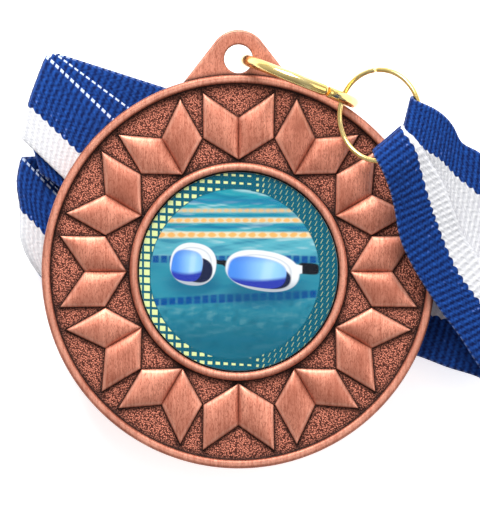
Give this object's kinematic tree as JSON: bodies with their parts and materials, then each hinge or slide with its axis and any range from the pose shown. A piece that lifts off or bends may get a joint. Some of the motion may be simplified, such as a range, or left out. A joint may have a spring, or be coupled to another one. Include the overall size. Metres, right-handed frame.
{
  "type": "sports finisher medal on a neck ribbon",
  "caption": "Round cast medal with a star relief and printed centre, hung by split wire rings on a striped neck ribbon wound up behind it.",
  "frame": {"origin": "centre of the clear film's front face, in the middle of the disc", "axes": "+Z out of the medal's face, +Y from the disc's centre to the hanging tab, +X to the right as the face is seen"},
  "size_m": [0.0671, 0.0557, 0.0176],
  "materials": {
    "copper": "antique copper plating, brushed high faces, stippled dark field",
    "adhesive": "double-sided foam pad",
    "print": "full-colour print, satin",
    "film": "clear gloss film",
    "gold": "polished gold plating",
    "ribbon": "ribbed woven polyester, blue, white and blue stripes"
  },
  "bodies": {
    "medal": {"medal_body": "copper", "insert_adhesive": "adhesive", "printed_insert": "print", "clear_film": "film"},
    "jump_ring": {"jump_ring": "gold"},
    "ribbon_ring": {"ribbon_ring": "gold"},
    "ribbon": {"ribbon_windings": "ribbon", "ribbon_strand_front": "ribbon", "ribbon_strand_back": "ribbon"}
  },
  "joints": [
    {"name": "jump_ring_swing", "type": "hinge", "parent": "medal", "child": "jump_ring", "pos_m": [0, 0.027, -0.0009], "axis": [0, 0, 1], "range_deg": [0, 200]},
    {"name": "ribbon_ring_swing", "type": "hinge", "parent": "jump_ring", "child": "ribbon_ring", "pos_m": [0.0146, 0.02146, -0.0009], "axis": [0, 0, 1], "range_deg": [-4, 40]},
    {"name": "ribbon_slide_round", "type": "hinge", "parent": "ribbon_ring", "child": "ribbon", "pos_m": [0.01785, 0.01977, 0.004], "axis": [0, 0, 1], "range_deg": [-4, 40], "deforming": ["ribbon_strand_front", "ribbon_strand_back"]}
  ]
}
